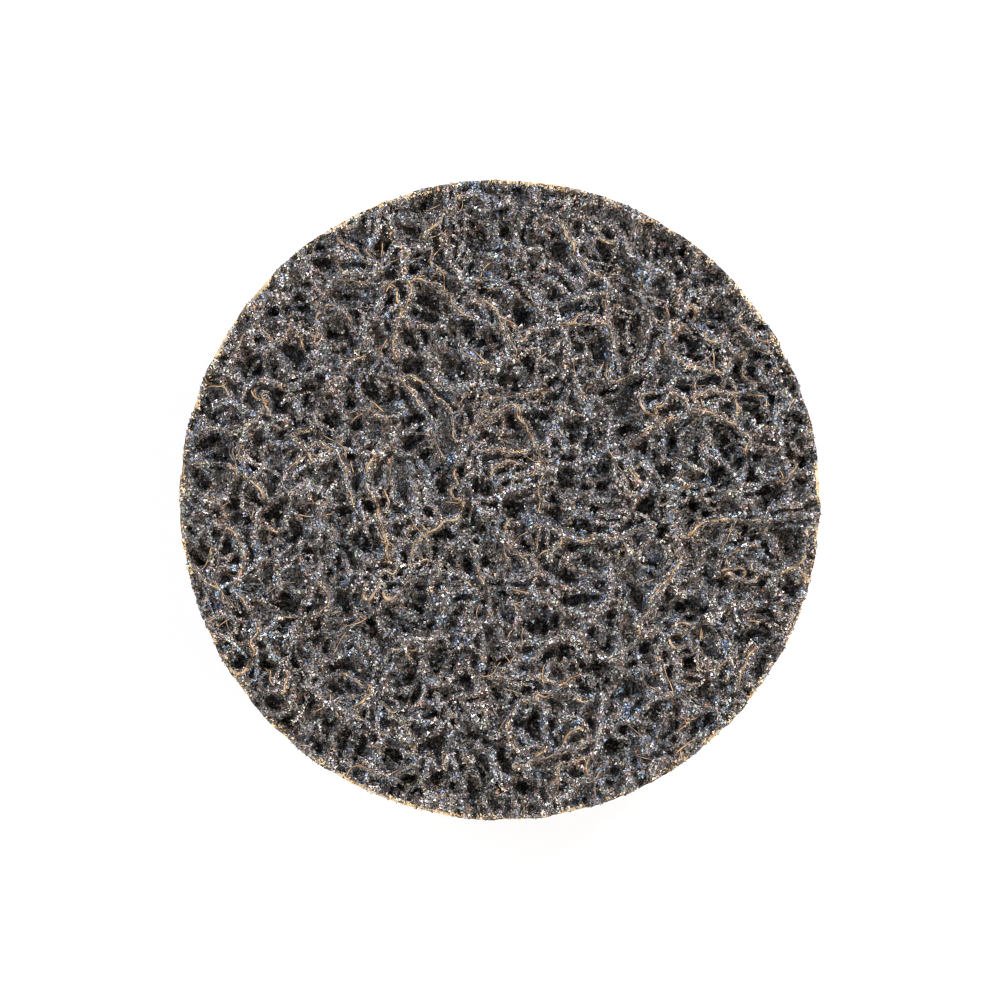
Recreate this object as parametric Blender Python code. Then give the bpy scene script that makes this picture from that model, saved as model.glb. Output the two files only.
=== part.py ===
# Surface conditioning disc with a screw-in quick change button.
# Lengths are metres. +Z points out of the abrasive face, and the origin is the centre of
# the button's free end, which the disc stands on when it is put down face up.

import math
import random

import bmesh
import bpy
from mathutils import Vector, noise

# Driving sizes of the die-cut laminate
DISC_DIAMETER = 0.050
WEB_RIM_INSET = 0.0001
WEB_THICKNESS = 0.0048
SCRIM_THICKNESS = 0.0008
GLUE_GAP = 0.0003
RIM_FACETS = 144

# Open nonwoven face: rolling strands round voids that go part of the way down
FACE_CELL = 0.00086
FACE_SCATTER = 0.00018
FACE_SCATTER_PITCH = 0.00049
FACE_LIP_PULL = 0.00026
STRAND_RELIEF = 0.00045
STRAND_PITCH = 0.0019
VOID_PITCH = 0.0030
VOID_OPEN_SHARE = 0.90
VOID_DEPTH = 0.0015
VOID_BRIDGE = 0.0006
VOID_WALL = 0.00030
VOID_WANDER = 0.0008
VOID_WANDER_PITCH = 0.0023
VOID_DRAW_SPREAD = 9.7
NOISE_ASIDE = Vector((31.7, 8.3, 5.1))
CLEAR_LIP_SLOPE = 0.45

# Coated fibres that lie on the face
FIBRE_COUNT = 34
FIBRE_DIAMETER = 0.00050
FIBRE_LENGTH = 0.0070
FIBRE_STEPS = 6
FIBRE_RISE = 0.00008
FIBRE_RIM_MARGIN = 0.0012
FIBRE_BEND = 0.45
FIBRE_KINK = 0.3
FIBRE_SEED = 14

# Woven reinforcing cloth on the back
YARN_PITCH = 0.0021
YARN_RELIEF = 0.00030

# Moulded button: a bonded flange with a threaded stud
FLANGE_DIAMETER = 0.0170
FLANGE_THICKNESS = 0.0012
FLANGE_CHAMFER = 0.0004
STUD_LENGTH = 0.0050
STUD_CORE_DIAMETER = 0.0074
STUD_ROOT_FILLET = 0.0006
SEAT_RELIEF_CLEARANCE = 0.0005
SEAT_RELIEF_DEPTH = 0.0004
STUD_TIP_CHAMFER = 0.0006
STUD_FACETS = 48
STUD_FILLET_STEPS = 4
SINK_HOLE_DIAMETER = 0.0034
SINK_HOLE_DEPTH = 0.0030
SINK_HOLE_CONE = 0.0006
THREAD_DIAMETER = 0.0094
THREAD_RIB_WIDTH = 0.0018
THREAD_PITCH = 0.0029
THREAD_TURNS = 1.15
THREAD_START_HEIGHT = 0.0011
THREAD_STEPS_PER_TURN = 32
THREAD_RUNOUT_TURNS = 0.14
THREAD_TIP_SHARE = 0.36

# How far the round die runs past both faces of the sheet that it cuts
DIE_OVERRUN = 0.002

# Sizes and heights that follow from the stack
WEB_DIAMETER = DISC_DIAMETER - 2.0 * WEB_RIM_INSET
FLANGE_SEAT_Z = STUD_LENGTH
FLANGE_TOP_Z = FLANGE_SEAT_Z + FLANGE_THICKNESS
SCRIM_BACK_Z = FLANGE_TOP_Z + GLUE_GAP
SCRIM_TOP_Z = SCRIM_BACK_Z + SCRIM_THICKNESS
WEB_BACK_Z = SCRIM_TOP_Z + GLUE_GAP
WEB_FACE_Z = WEB_BACK_Z + WEB_THICKNESS


def clear_scene():
    for old in list(bpy.data.objects):
        bpy.data.objects.remove(old, do_unlink=True)


def new_collection(name):
    collection = bpy.data.collections.new(name)
    bpy.context.scene.collection.children.link(collection)
    return collection


def make_material(name, colour, roughness, metallic=0.0):
    material = bpy.data.materials.new(name)
    material.use_nodes = True
    shader = material.node_tree.nodes["Principled BSDF"]
    shader.inputs["Base Color"].default_value = (*colour, 1.0)
    shader.inputs["Roughness"].default_value = roughness
    shader.inputs["Metallic"].default_value = metallic
    return material


def object_from_bmesh(bm, name, collection):
    bmesh.ops.recalc_face_normals(bm, faces=bm.faces)
    mesh = bpy.data.meshes.new(name)
    bm.to_mesh(mesh)
    bm.free()
    made = bpy.data.objects.new(name, mesh)
    collection.objects.link(made)
    return made


def smooth_step(value, low, high):
    share = min(1.0, max(0.0, (value - low) / (high - low)))
    return share * share * (3.0 - 2.0 * share)


def scatter_of(spot):
    # Two unlike readings of one smooth noise, for a sideways shift of a point.
    return Vector((noise.noise(spot), noise.noise(spot + NOISE_ASIDE), 0.0))


def void_margin(x, y):
    # Distance from (x, y) in to the lip of the void around it: below zero outside the void.
    # Voids are the middles of most cells of a warped Voronoi pattern, a bridge apart.
    spot = Vector((x, y, 0.0))
    warped = spot + scatter_of(spot / VOID_WANDER_PITCH) * VOID_WANDER
    distances, seeds = noise.voronoi(warped / VOID_PITCH)
    if noise.cell(seeds[0] * VOID_DRAW_SPREAD) > VOID_OPEN_SHARE:
        return -VOID_PITCH
    return (distances[1] - distances[0]) / 2.0 * VOID_PITCH - VOID_BRIDGE / 2.0


def web_face_drop(x, y):
    # How far the face lies below its highest strands.
    strand = 0.5 + 0.5 * noise.noise(Vector((x, y, 0.0)) / STRAND_PITCH)
    return STRAND_RELIEF * strand + VOID_DEPTH * smooth_step(void_margin(x, y), 0.0, VOID_WALL)


def margin_slope(x, y, step_x, step_y):
    rise = void_margin(x + step_x, y + step_y) - void_margin(x - step_x, y - step_y)
    return rise / (2.0 * max(step_x, step_y))


def pull_to_lip(place):
    # Draws a grid point near a void's lip onto it, so that the lip is one clean line.
    margin = void_margin(place.x, place.y)
    if abs(margin) > FACE_CELL / 2.0:
        return
    probe = VOID_WALL / 7.0
    inward = Vector((
        margin_slope(place.x, place.y, probe, 0.0),
        margin_slope(place.x, place.y, 0.0, probe),
        0.0,
    ))
    if inward.length < CLEAR_LIP_SLOPE:
        return
    pull = max(-FACE_LIP_PULL, min(FACE_LIP_PULL, margin / inward.length))
    place -= inward.normalized() * pull


def flat_grid(cell, diameter):
    # A square of cells that reaches a little past the disc, centred on the axis.
    cells = math.ceil(diameter / cell) + 2
    bm = bmesh.new()
    bmesh.ops.create_grid(bm, x_segments=cells, y_segments=cells, size=cells * cell / 2.0)
    return bm


def close_slab(bm, name, collection, flat_z):
    # Walls run from the patterned side's border to the flat side, which one face closes.
    border = [edge for edge in bm.edges if edge.is_boundary]
    walls = bmesh.ops.extrude_edge_only(bm, edges=border)["geom"]
    for vert in (part for part in walls if isinstance(part, bmesh.types.BMVert)):
        vert.co.z = flat_z
    bmesh.ops.holes_fill(bm, edges=[edge for edge in bm.edges if edge.is_boundary])
    return object_from_bmesh(bm, name, collection)


def punch_to_disc(slab, diameter, low_z, high_z, cutters):
    # The die that cuts the sheet: what lies inside its cylinder is kept.
    bpy.ops.mesh.primitive_cylinder_add(
        vertices=RIM_FACETS,
        radius=diameter / 2.0,
        depth=high_z - low_z + 2.0 * DIE_OVERRUN,
        location=(0.0, 0.0, (low_z + high_z) / 2.0),
        rotation=(0.0, 0.0, math.pi / RIM_FACETS),
    )
    die = bpy.context.active_object
    die.name = slab.name + "_die"
    die.display_type = "WIRE"
    die.hide_render = True
    for holder in list(die.users_collection):
        holder.objects.unlink(die)
    cutters.objects.link(die)
    punch = slab.modifiers.new("punch", "BOOLEAN")
    punch.operation = "INTERSECT"
    punch.solver = "EXACT"
    punch.object = die
    return slab


def add_web_slab(collection):
    # The open face: a grid whose points are scattered, drawn to the voids' lips and dropped.
    bm = flat_grid(FACE_CELL, WEB_DIAMETER)
    for vert in bm.verts:
        if vert.is_boundary:
            continue
        vert.co += scatter_of(vert.co / FACE_SCATTER_PITCH) * FACE_SCATTER
        pull_to_lip(vert.co)
    for vert in bm.verts:
        vert.co.z = WEB_FACE_Z - web_face_drop(vert.co.x, vert.co.y)
    bmesh.ops.triangulate(bm, faces=bm.faces, quad_method="SHORT_EDGE")
    return close_slab(bm, "abrasive_web", collection, WEB_BACK_Z)


def fibre_route(index, reach, chance):
    # One fibre's points: it starts at its place in a sunflower spread, bends one way with
    # small kinks and bridges the voids at strand height. Its ends are buried in the web.
    distance = reach * math.sqrt((index + 0.5) / FIBRE_COUNT)
    around = index * math.pi * (3.0 - math.sqrt(5.0))
    spot = Vector((distance * math.cos(around), distance * math.sin(around), 0.0))
    heading = math.tau * chance.random()
    bend = chance.uniform(-FIBRE_BEND, FIBRE_BEND)
    stride = FIBRE_LENGTH / (FIBRE_STEPS - 1)
    route = []
    while len(route) < FIBRE_STEPS and spot.length < reach:
        route.append(Vector((spot.x, spot.y, WEB_FACE_Z + FIBRE_RISE)))
        heading += bend + chance.uniform(-FIBRE_KINK, FIBRE_KINK)
        spot = spot + Vector((math.cos(heading), math.sin(heading), 0.0)) * stride
    for place in route[1:-1]:
        place.z -= min(web_face_drop(place.x, place.y), STRAND_RELIEF)
    for place in (route[0], route[-1]):
        place.z -= web_face_drop(place.x, place.y) + FIBRE_DIAMETER
    return route


def add_fibres(collection):
    chance = random.Random(FIBRE_SEED)
    reach = WEB_DIAMETER / 2.0 - FIBRE_RIM_MARGIN
    curve = bpy.data.curves.new("face_fibres", "CURVE")
    curve.dimensions = "3D"
    curve.bevel_depth = FIBRE_DIAMETER / 2.0
    curve.bevel_resolution = 0
    curve.use_fill_caps = True
    for index in range(FIBRE_COUNT):
        route = fibre_route(index, reach, chance)
        if len(route) < 3:
            continue
        spline = curve.splines.new("POLY")
        spline.points.add(len(route) - 1)
        for point, place in zip(spline.points, route):
            point.co = (*place, 1.0)
    made = bpy.data.objects.new("face_fibres", curve)
    collection.objects.link(made)
    return made


def add_abrasive_web(parts, cutters):
    web = add_web_slab(parts)
    fibres = mesh_of_curve(add_fibres(cutters), cutters)
    fibres.display_type = "WIRE"
    fibres.hide_render = True
    lay = web.modifiers.new("fibres", "BOOLEAN")
    lay.operation = "UNION"
    lay.solver = "EXACT"
    lay.use_self = True
    lay.object = fibres
    punch_to_disc(web, WEB_DIAMETER, WEB_BACK_Z, WEB_FACE_Z, cutters)
    web.data.materials.append(make_material("resin_and_grain", (0.075, 0.066, 0.060), 0.72))
    return web


def add_scrim(parts, cutters):
    # Plain weave: each crossing of two yarns stands out of the back as one low point.
    bm = flat_grid(YARN_PITCH, DISC_DIAMETER)
    for vert in bm.verts:
        vert.co.z = SCRIM_BACK_Z + YARN_RELIEF
    crossings = bmesh.ops.poke(bm, faces=bm.faces)["verts"]
    for vert in crossings:
        vert.co.z = SCRIM_BACK_Z
    scrim = close_slab(bm, "scrim_backing", parts, SCRIM_TOP_Z)
    punch_to_disc(scrim, DISC_DIAMETER, SCRIM_BACK_Z, SCRIM_TOP_Z, cutters)
    scrim.data.materials.append(make_material("woven_scrim", (0.42, 0.29, 0.15), 0.85))
    return scrim


def stud_outline():
    # Right-hand half of the button's section, from the hole's floor out to the flange top.
    # A relief round the stud's root keeps the flat seat clear of the thread and the fillet.
    hole_r = SINK_HOLE_DIAMETER / 2.0
    core_r = STUD_CORE_DIAMETER / 2.0
    flange_r = FLANGE_DIAMETER / 2.0
    relief_r = max(THREAD_DIAMETER / 2.0, core_r + STUD_ROOT_FILLET) + SEAT_RELIEF_CLEARANCE
    relief_z = FLANGE_SEAT_Z + SEAT_RELIEF_DEPTH
    points = [
        (0.0, SINK_HOLE_DEPTH + SINK_HOLE_CONE),
        (hole_r, SINK_HOLE_DEPTH),
        (hole_r, 0.0),
        (core_r - STUD_TIP_CHAMFER, 0.0),
        (core_r, STUD_TIP_CHAMFER),
    ]
    for step in range(STUD_FILLET_STEPS + 1):
        turn = math.radians(90.0) * step / STUD_FILLET_STEPS
        points.append((
            core_r + STUD_ROOT_FILLET * (1.0 - math.cos(turn)),
            relief_z - STUD_ROOT_FILLET * (1.0 - math.sin(turn)),
        ))
    points += [
        (relief_r, relief_z),
        (relief_r, FLANGE_SEAT_Z),
        (flange_r, FLANGE_SEAT_Z),
        (flange_r, FLANGE_TOP_Z - FLANGE_CHAMFER),
        (flange_r - FLANGE_CHAMFER, FLANGE_TOP_Z),
        (0.0, FLANGE_TOP_Z),
    ]
    return points


def add_stud_body(collection):
    bm = bmesh.new()
    verts = [bm.verts.new((radius, 0.0, height)) for radius, height in stud_outline()]
    for start, end in zip(verts, verts[1:]):
        bm.edges.new((start, end))
    bmesh.ops.spin(
        bm,
        geom=bm.verts[:] + bm.edges[:],
        axis=(0.0, 0.0, 1.0),
        cent=(0.0, 0.0, 0.0),
        angle=math.tau,
        steps=STUD_FACETS,
        use_merge=True,
    )
    bmesh.ops.remove_doubles(bm, verts=bm.verts, dist=1e-6)
    return object_from_bmesh(bm, "quick_change_button", collection)


def add_thread_rib(collection):
    # A round-backed rib wound on the core, half sunk in it, that fades out at both ends.
    rib_r = THREAD_RIB_WIDTH / 2.0
    rib_path_r = THREAD_DIAMETER / 2.0 - rib_r
    steps = round(THREAD_TURNS * THREAD_STEPS_PER_TURN)
    curve = bpy.data.curves.new("thread_rib", "CURVE")
    curve.dimensions = "3D"
    curve.bevel_depth = rib_r
    curve.bevel_resolution = 2
    curve.use_fill_caps = True
    spline = curve.splines.new("POLY")
    spline.points.add(steps)
    for index, point in enumerate(spline.points):
        turns = THREAD_TURNS * index / steps
        from_end = min(turns, THREAD_TURNS - turns)
        full = smooth_step(from_end, 0.0, THREAD_RUNOUT_TURNS)
        path_r = rib_path_r - (1.0 - full) * (THREAD_DIAMETER - STUD_CORE_DIAMETER) / 2.0
        angle = math.tau * turns
        height = THREAD_START_HEIGHT + THREAD_PITCH * turns
        point.co = (path_r * math.cos(angle), path_r * math.sin(angle), height, 1.0)
        point.radius = THREAD_TIP_SHARE + (1.0 - THREAD_TIP_SHARE) * full
    made = bpy.data.objects.new("thread_rib", curve)
    collection.objects.link(made)
    return made


def mesh_of_curve(curve_object, collection):
    graph = bpy.context.evaluated_depsgraph_get()
    mesh = bpy.data.meshes.new_from_object(curve_object.evaluated_get(graph))
    bm = bmesh.new()
    bm.from_mesh(mesh)
    bmesh.ops.remove_doubles(bm, verts=bm.verts, dist=1e-6)
    bmesh.ops.recalc_face_normals(bm, faces=bm.faces)
    bm.to_mesh(mesh)
    bm.free()
    made = bpy.data.objects.new(curve_object.name + "_solid", mesh)
    made.matrix_world = curve_object.matrix_world
    collection.objects.link(made)
    bpy.data.objects.remove(curve_object, do_unlink=True)
    return made


def add_button(parts, cutters):
    button = add_stud_body(parts)
    rib = mesh_of_curve(add_thread_rib(cutters), cutters)
    rib.display_type = "WIRE"
    rib.hide_render = True
    join = button.modifiers.new("thread", "BOOLEAN")
    join.operation = "UNION"
    join.solver = "EXACT"
    join.object = rib
    button.data.shade_smooth()
    button.data.set_sharp_from_angle(angle=math.radians(35.0))
    button.data.materials.append(make_material("moulded_nylon", (0.78, 0.76, 0.70), 0.45))
    return button


def build():
    clear_scene()
    parts = new_collection("surface_conditioning_disc")
    cutters = new_collection("cutters")
    add_button(parts, cutters)
    add_scrim(parts, cutters)
    add_abrasive_web(parts, cutters)


build()
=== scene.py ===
# Surface conditioning disc, face up: open nonwoven web, woven scrim, moulded screw-in button.
# Metres throughout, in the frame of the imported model. Pattern sizes come from real millimetres.
import math
import random

import bmesh
import bpy
import numpy as np
from mathutils import Euler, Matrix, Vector, noise


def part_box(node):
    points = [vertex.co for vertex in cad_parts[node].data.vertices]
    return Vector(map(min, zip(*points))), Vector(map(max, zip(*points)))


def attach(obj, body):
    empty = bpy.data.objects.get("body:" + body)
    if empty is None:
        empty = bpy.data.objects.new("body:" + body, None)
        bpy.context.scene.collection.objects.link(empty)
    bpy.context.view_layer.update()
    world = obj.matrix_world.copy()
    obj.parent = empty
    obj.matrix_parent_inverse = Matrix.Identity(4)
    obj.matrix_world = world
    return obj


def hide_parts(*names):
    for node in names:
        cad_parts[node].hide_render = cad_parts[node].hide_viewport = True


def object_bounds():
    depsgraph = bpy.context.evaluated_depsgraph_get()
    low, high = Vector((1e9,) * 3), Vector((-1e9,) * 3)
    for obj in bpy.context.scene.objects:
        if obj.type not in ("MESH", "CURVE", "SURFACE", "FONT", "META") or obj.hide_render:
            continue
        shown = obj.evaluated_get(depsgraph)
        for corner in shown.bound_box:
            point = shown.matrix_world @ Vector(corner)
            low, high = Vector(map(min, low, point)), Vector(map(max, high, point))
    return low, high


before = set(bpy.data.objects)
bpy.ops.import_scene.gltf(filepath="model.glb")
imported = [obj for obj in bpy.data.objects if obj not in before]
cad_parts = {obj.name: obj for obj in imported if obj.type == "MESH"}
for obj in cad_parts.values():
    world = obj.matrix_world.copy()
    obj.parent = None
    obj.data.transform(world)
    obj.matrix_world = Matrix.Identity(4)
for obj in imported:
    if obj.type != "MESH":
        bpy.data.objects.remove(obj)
cadLow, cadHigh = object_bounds()
webLow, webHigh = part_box("abrasive_web")
scrimLow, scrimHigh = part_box("scrim_backing")
_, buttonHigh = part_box("quick_change_button")
mm = 0.001
print("frame loaded, box", [round(v / mm, 2) for v in (*cadLow, *cadHigh)])


# Small helpers

def toLinear(hexColour):
    # sRGB hex to the linear numbers that the shader takes
    channels = [int(hexColour[i:i + 2], 16) / 255.0 for i in (1, 3, 5)]
    return tuple(c / 12.92 if c <= 0.04045 else ((c + 0.055) / 1.055) ** 2.4 for c in channels) + (1.0,)


def setSockets(material, node, feeds):
    # Numbers and colours are set on the sockets, outputs are linked to them
    for socket, value in feeds.items():
        if isinstance(value, bpy.types.NodeSocket):
            material.node_tree.links.new(value, node.inputs[socket])
        else:
            node.inputs[socket].default_value = value


def addNode(material, kind, settings=None, feeds=None, stops=()):
    # One node: settings are its properties, feeds go into its sockets, stops are a ramp's colours
    node = material.node_tree.nodes.new("ShaderNode" + kind)
    for name, value in (settings or {}).items():
        setattr(node, name, value)
    setSockets(material, node, feeds or {})
    for index, (place, hexColour) in enumerate(stops):
        stop = node.color_ramp.elements[index] if index < 2 else node.color_ramp.elements.new(place)
        stop.position = place
        stop.color = toLinear(hexColour)
    return node


def newMaterial(name, **values):
    material = bpy.data.materials.new(name)
    material.use_nodes = True
    shader = material.node_tree.nodes["Principled BSDF"]
    setSockets(material, shader, values)
    return material, shader


def smoothStep(value, low, high):
    share = min(1.0, max(0.0, (value - low) / (high - low)))
    return share * share * (3.0 - 2.0 * share)


def aim(angle):
    return Vector((math.cos(angle), math.sin(angle), 0.0))


def addObject(name, data):
    made = bpy.data.objects.new(name, data)
    bpy.context.scene.collection.objects.link(made)
    return made


def meshFrom(name, bm):
    mesh = bpy.data.meshes.new(name)
    bm.to_mesh(mesh)
    bm.free()
    return mesh


def evaluated(holder):
    # The finished mesh of a curve or of an object with a modifier, which it replaces
    graph = bpy.context.evaluated_depsgraph_get()
    mesh = bpy.data.meshes.new_from_object(holder.evaluated_get(graph))
    bpy.data.objects.remove(holder)
    return mesh


def newCurve(name):
    curve = bpy.data.curves.new(name, "CURVE")
    curve.dimensions = "3D"
    curve.use_fill_caps = True
    return curve


def addSpline(curve, count):
    spline = curve.splines.new("POLY")
    spline.points.add(count - 1)
    return spline


def meshOfCurve(name, curve):
    mesh = evaluated(addObject(name, curve))
    bm = bmesh.new()
    bm.from_mesh(mesh)
    bmesh.ops.remove_doubles(bm, verts=bm.verts, dist=1e-6)
    bmesh.ops.recalc_face_normals(bm, faces=bm.faces)
    bm.to_mesh(mesh)
    bm.free()
    return mesh


def newPiece(name, mesh, material, slot, smooth, *nodes):
    # Links a finished mesh as a piece of the disc, in place of the CAD nodes that it stands for
    piece = addObject(name, mesh)
    if smooth:
        mesh.shade_smooth()
    else:
        mesh.shade_flat()
    mesh.materials.clear()
    mesh.materials.append(material)
    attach(piece, "root")
    if nodes:
        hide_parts(*nodes)
    print("made", name, len(mesh.loop_triangles) or len(mesh.polygons), "faces")
    return piece


# The web's relief, shared by the mass, the grit and the strands

web = {
    "thickness": 4.8 * mm,
    "voidPitch": 3.0 * mm,  # large voids, placed as in the CAD solid
    "voidOpenShare": 0.90,
    "voidDepth": 1.5 * mm,
    "voidBridge": 0.6 * mm,
    "voidWall": 0.22 * mm,
    "voidWander": 0.8 * mm,
    "voidWanderPitch": 2.3 * mm,
    "voidShiver": 1.4,  # share of the shiver below
    "voidDrawSpread": 9.7,
    "noiseAside": Vector((31.7, 8.3, 5.1)),
    "noiseTurn": Euler((0.5, 0.9, 0.35)).to_matrix(),
    "groundDepth": 1.45 * mm,  # hollows between the ridges
    "voidLevel": 0.35,  # share of that depth which is left out where a void lies below
    "wellPitch": 1.2 * mm,  # black wells in the hollows
    "wellOpenShare": 0.45,
    "wellDepth": 0.85 * mm,
    "wellBridge": 0.26 * mm,
    "wellWall": 0.15 * mm,
    "wellWander": 0.55 * mm,
    "wellShiver": 1.3,
    "shiver": 0.22 * mm,  # small sideways wander that roughens every edge
    "shiverPitch": 0.55 * mm,
    "lumps": ((0.85 * mm, 0.25 * mm), (0.42 * mm, 0.25 * mm), (0.21 * mm, 0.10 * mm)),  # pitch and depth
    "rasterPitch": 0.1 * mm,
    "gridCells": 248,
    "gridJitter": 0.4,  # of a cell
    "gridJitterPitch": 0.3 * mm,
    "wallRows": 24,
    "leastThickness": 0.4 * mm,
    "gloom": 1.8 * mm,  # painted shade: depth over which the light painted into the grit's colour falls to a third
}
web["backZ"] = scrimHigh.z
web["faceZ"] = webLow.z + web["thickness"]
web["radius"] = (webHigh.x - webLow.x) / 2.0
web["reach"] = web["radius"] + 0.5 * mm  # half the side of the raster below
web["noiseShift"] = web["noiseAside"] * 0.37

rim = {  # the side that the die cuts
    "roughness": 0.09 * mm,
    "tears": ((0.55 * mm, 0.5), (0.24 * mm, 0.35)),  # pitch and share
    "tornBelow": 1.5,  # how much rougher it is under the top, from the depth below on
    "tornDepth": 0.5 * mm,
    "pitDepth": 0.75 * mm,
    "pitPitch": 1.3 * mm,
    "pitBridge": 0.3 * mm,
    "pitOpenShare": 0.7,
    "pitWall": 0.25 * mm,
    "pitTop": 0.35 * mm,  # depth under the top from which a pit is fully open
    "slack": 0.30 * mm,  # where the web is cut shy of the cloth below
    "slackPitch": 3.5 * mm,
    "slackNoise": (-0.05, 0.30),
    "even": 0.45,  # how far the hollows close up towards the cut, over the band below
    "band": 1.0 * mm,
    "softBand": 1.5 * mm,  # over which the top's outline takes on the side's roughness
}

ridges = {  # coated strands lie along the lines where slow noises cross zero
    "layers": (  # pitch, depth under the top, and half width
        (5.4 * mm, -0.30 * mm, 0.32 * mm),
        (4.3 * mm, -0.15 * mm, 0.28 * mm),
        (3.3 * mm, 0.15 * mm, 0.24 * mm),
        (2.5 * mm, 0.40 * mm, 0.22 * mm),
        (1.7 * mm, 0.75 * mm, 0.20 * mm)),
    "fall": 0.50 * mm,
    "fray": 0.11,  # small noise that keeps a strand from running smooth
    "frayPitch": 1.1 * mm,
    "sway": 0.80 * mm,  # how far a strand sinks and rises along its way
    "swayMiddle": 0.42,
    "swaySwing": 0.9,
    "swayPitch": 3.0 * mm,
    "voidShare": 0.7,  # how far a strand sinks where it crosses a void
    "flattest": 0.35,  # slopes of the noise below this share of its pitch carry no strand
}


def tiltedNoise(spot):
    # Noise read on a tilted plane, so that its own grid doesn't show as straight rows
    return noise.noise(web["noiseTurn"] @ spot + web["noiseShift"])


def scatterOf(spot, reading=tiltedNoise):
    return Vector((reading(spot), reading(spot + web["noiseAside"]), 0.0))


def cellMargin(spot, pitch, bridge, openShare):
    # Distance in from the lip of an open cell, below zero on the bridges between cells
    distances, seeds = noise.voronoi(spot / pitch)
    if noise.cell(seeds[0] * web["voidDrawSpread"]) > openShare:
        return -pitch
    return (distances[1] - distances[0]) / 2.0 * pitch - bridge / 2.0


def voidOpening(spot):
    # 0 on the bridges between the large voids, 1 inside them
    warped = spot + scatterOf(spot / web["voidWanderPitch"], noise.noise) * web["voidWander"]
    warped += scatterOf(spot / web["shiverPitch"]) * web["shiver"] * web["voidShiver"]
    margin = cellMargin(warped, web["voidPitch"], web["voidBridge"], web["voidOpenShare"])
    return smoothStep(margin, 0.0, web["voidWall"])


def wellOpening(spot):
    shiver = scatterOf(spot / web["shiverPitch"]) * web["shiver"] * web["wellShiver"]
    shiver += scatterOf(spot / web["wellPitch"] + web["noiseAside"]) * web["wellWander"]
    margin = cellMargin(spot + shiver, web["wellPitch"], web["wellBridge"], web["wellOpenShare"])
    return smoothStep(margin, 0.0, web["wellWall"])


def lumpRise(spot):
    return sum(depth * tiltedNoise(spot / pitch) for pitch, depth in web["lumps"])


def layerNoise(layer, pitch):
    aside = web["noiseAside"] * (layer + 1)

    def reading(spot):
        fray = ridges["fray"] * tiltedNoise(spot / ridges["frayPitch"] + aside)
        return tiltedNoise(spot / pitch + aside) + fray
    return reading


def layerDepth(layer, depth):
    aside = web["noiseAside"] * (layer + len(ridges["layers"]))

    def reading(spot):
        swing = ridges["swaySwing"] * tiltedNoise(spot / ridges["swayPitch"] + aside)
        return depth + ridges["sway"] * (ridges["swayMiddle"] + swing)
    return reading


def rasterOf(reading):
    # One reading for each place of a fine square raster over the disc
    count = int(2.0 * web["reach"] / web["rasterPitch"]) + 1
    raster = np.zeros((count, count))
    corner = Vector((web["reach"], web["reach"], 0.0))
    for row in range(count):
        for column in range(count):
            spot = Vector((column, row, 0.0)) * web["rasterPitch"] - corner
            if spot.length < web["reach"]:
                raster[row, column] = reading(spot)
    return raster


def readRaster(raster, x, y):
    # Bilinear reading of a raster at arrays of places
    u = (np.asarray(x) + web["reach"]) / web["rasterPitch"]
    v = (np.asarray(y) + web["reach"]) / web["rasterPitch"]
    column = np.clip(u.astype(int), 0, raster.shape[1] - 2)
    row = np.clip(v.astype(int), 0, raster.shape[0] - 2)
    fx = np.clip(u - column, 0.0, 1.0)
    fy = np.clip(v - row, 0.0, 1.0)
    low = raster[row, column] * (1.0 - fx) + raster[row, column + 1] * fx
    high = raster[row + 1, column] * (1.0 - fx) + raster[row + 1, column + 1] * fx
    return low * (1.0 - fy) + high * fy


def layLayer(layer):
    # Rasters of one layer of strands: its noise, that noise's slopes and the crest's height
    pitch, depth, _ = ridges["layers"][layer]
    field = rasterOf(layerNoise(layer, pitch))
    down, across = np.gradient(field, web["rasterPitch"])
    sunk = rasterOf(layerDepth(layer, depth)) + ridges["voidShare"] * web["voidDepth"] * voidOpenings
    return field, across, down, web["faceZ"] - np.maximum(sunk, 0.0)


def readFace():
    # The height of the grit-coated face: hollows, wells, and the highest strand at each place
    ground = web["groundDepth"] * (1.0 - web["voidLevel"] * voidOpenings)
    heights = web["faceZ"] - (ground + web["voidDepth"] * voidOpenings)
    heights -= web["wellDepth"] * rasterOf(wellOpening)
    for (pitch, _, halfWidth), (field, across, down, crest) in zip(ridges["layers"], layers):
        slope = np.maximum(np.hypot(across, down), ridges["flattest"] / pitch)
        away = np.abs(field) / slope / halfWidth
        heights = np.maximum(heights, crest - ridges["fall"] * away ** 2)
    side = np.arange(len(heights)) * web["rasterPitch"] - web["reach"]
    out = np.hypot(side[None, :], side[:, None])
    nearCut = np.clip((out - web["radius"]) / rim["band"] + 1.0, 0.0, 1.0)
    below = np.maximum(web["faceZ"] - heights - rasterOf(lumpRise), 0.0)
    return web["faceZ"] - below * (1.0 - rim["even"] * nearCut)


def rimRecess(spot, below):
    # How far the cut edge stands in from the die's circle: torn grain, and pits under the top
    torn = sum((share * noise.noise(spot / pitch) for pitch, share in rim["tears"]), 0.5)
    torn *= 1.0 + rim["tornBelow"] * smoothStep(below, 0.0, rim["tornDepth"])
    shiver = scatterOf(spot / web["shiverPitch"]) * web["shiver"]
    pit = cellMargin(spot + shiver, rim["pitPitch"], rim["pitBridge"], rim["pitOpenShare"])
    deep = smoothStep(pit, 0.0, rim["pitWall"]) * smoothStep(below, 0.0, rim["pitTop"])
    plan = Vector((spot.x, spot.y, 0.0))
    slack = rim["slack"] * smoothStep(noise.noise(plan / rim["slackPitch"]), *rim["slackNoise"])
    return max(0.0, rim["roughness"] * torn + rim["pitDepth"] * deep + slack)


# Strands and fibres over the mass

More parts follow.
